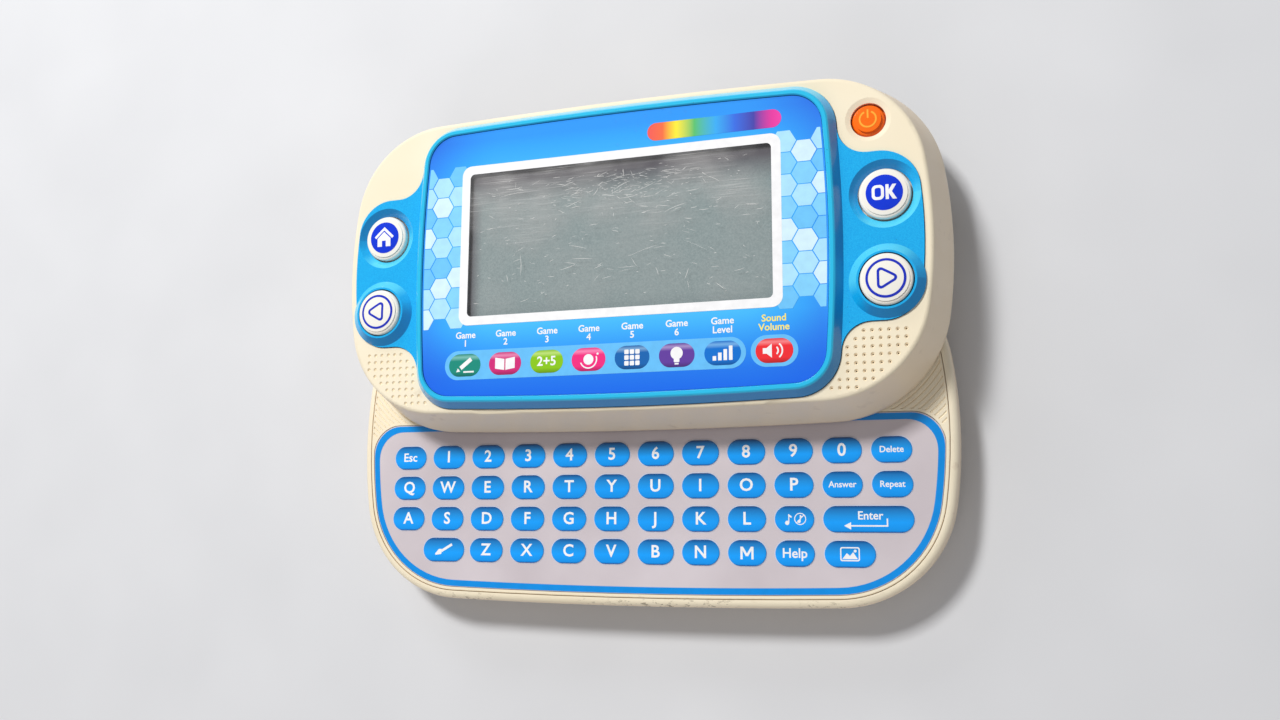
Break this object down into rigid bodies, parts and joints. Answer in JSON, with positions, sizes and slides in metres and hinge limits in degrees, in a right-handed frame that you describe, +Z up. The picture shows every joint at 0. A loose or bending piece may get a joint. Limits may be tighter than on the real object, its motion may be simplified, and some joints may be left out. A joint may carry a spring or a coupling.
{
  "type": "toy laptop computer",
  "caption": "Slider-type toy computer: a display half with raised blue frame and round buttons slides over a flat sheet keyboard half.",
  "frame": {"origin": "middle of the opened toy on the table plane under its feet", "axes": "+X to the right as seen by the user, +Y from the keyboard towards the display's top edge, +Z up out of the display's face"},
  "size_m": [0.1948, 0.1586, 0.0394],
  "materials": {
    "cream_shell": "fine satin moulding, slightly worn",
    "key_sheet": "printed flexible sheet, satin",
    "film": "thin polyester film",
    "icon_print": "printed picture strip",
    "slide_plastic": "natural white acetal",
    "screw_steel": "zinc plated",
    "cell_sleeve": "shrink sleeve",
    "contact_plate": "nickel plated spring steel",
    "foot_rubber": "matte rubber",
    "blue_frame": "glossy moulding with fine scratches",
    "blue_plate": "glossy plate, print that fades from cyan to violet blue",
    "clear_window": "scratched clear acrylic",
    "lcd_glass": "grey green display glass",
    "dark_tray": "dark moulding",
    "board_green": "solder mask over fibre board",
    "chip_black": "potted chip",
    "speaker_black": "pressed frame and cone",
    "pad_rubber": "silicone dome",
    "white_cap": "glossy moulded cap",
    "orange_cap": "glossy moulded cap"
  },
  "bodies": {
    "base": {"base_case": "cream_shell", "deck_cover": "cream_shell", "key_overlay": "key_sheet", "key_spacer": "film", "key_circuit": "film", "runner_left": "slide_plastic", "runner_right": "slide_plastic", "runner_screws": "screw_steel", "case_screws": "screw_steel", "cell_1": "cell_sleeve", "cell_2": "cell_sleeve", "cell_3": "cell_sleeve", "contact_plus": "contact_plate", "contact_minus": "contact_plate", "bridge_left": "contact_plate", "bridge_right": "contact_plate", "foot_1": "foot_rubber", "foot_2": "foot_rubber", "foot_3": "foot_rubber", "foot_4": "foot_rubber"},
    "door": {"battery_door": "cream_shell", "door_screw": "screw_steel"},
    "screen": {"front_shell": "cream_shell", "rear_cover": "cream_shell", "bezel": "blue_frame", "faceplate": "blue_plate", "window_pane": "clear_window", "lcd_panel": "lcd_glass", "lcd_tray": "dark_tray", "icon_sheet": "icon_print", "main_board": "board_green", "main_chip": "chip_black", "speaker": "speaker_black", "board_tail": "film", "home_pad": "pad_rubber", "ok_pad": "pad_rubber", "left_pad": "pad_rubber", "right_pad": "pad_rubber", "power_pad": "pad_rubber", "cover_screws": "screw_steel", "board_screws": "screw_steel"},
    "home": {"home_button": "white_cap"},
    "ok": {"ok_button": "white_cap"},
    "left_arrow": {"left_button": "white_cap"},
    "right_arrow": {"right_button": "white_cap"},
    "power": {"power_button": "orange_cap"}
  },
  "joints": [
    {"name": "screen_slide", "type": "slide", "parent": "base", "child": "screen", "axis": [0, -1, 0], "range_m": [0, 0.054]},
    {"name": "door_lift", "type": "slide", "parent": "base", "child": "door", "axis": [0, 0, -1], "range_m": [0, 0.03]},
    {"name": "home_press", "type": "slide", "parent": "screen", "child": "home", "axis": [0, 0, -1], "range_m": [0, 0.0012], "stiffness_N_per_m": 1500, "springref_m": -0.0006, "deforming": ["home_pad"]},
    {"name": "ok_press", "type": "slide", "parent": "screen", "child": "ok", "axis": [0, 0, -1], "range_m": [0, 0.0012], "stiffness_N_per_m": 1500, "springref_m": -0.0006, "deforming": ["ok_pad"]},
    {"name": "left_press", "type": "slide", "parent": "screen", "child": "left_arrow", "axis": [0, 0, -1], "range_m": [0, 0.0012], "stiffness_N_per_m": 1500, "springref_m": -0.0006, "deforming": ["left_pad"]},
    {"name": "right_press", "type": "slide", "parent": "screen", "child": "right_arrow", "axis": [0, 0, -1], "range_m": [0, 0.0012], "stiffness_N_per_m": 1500, "springref_m": -0.0006, "deforming": ["right_pad"]},
    {"name": "power_press", "type": "slide", "parent": "screen", "child": "power", "axis": [0, 0, -1], "range_m": [0, 0.0012], "stiffness_N_per_m": 1500, "springref_m": -0.0006, "deforming": ["power_pad"]}
  ]
}
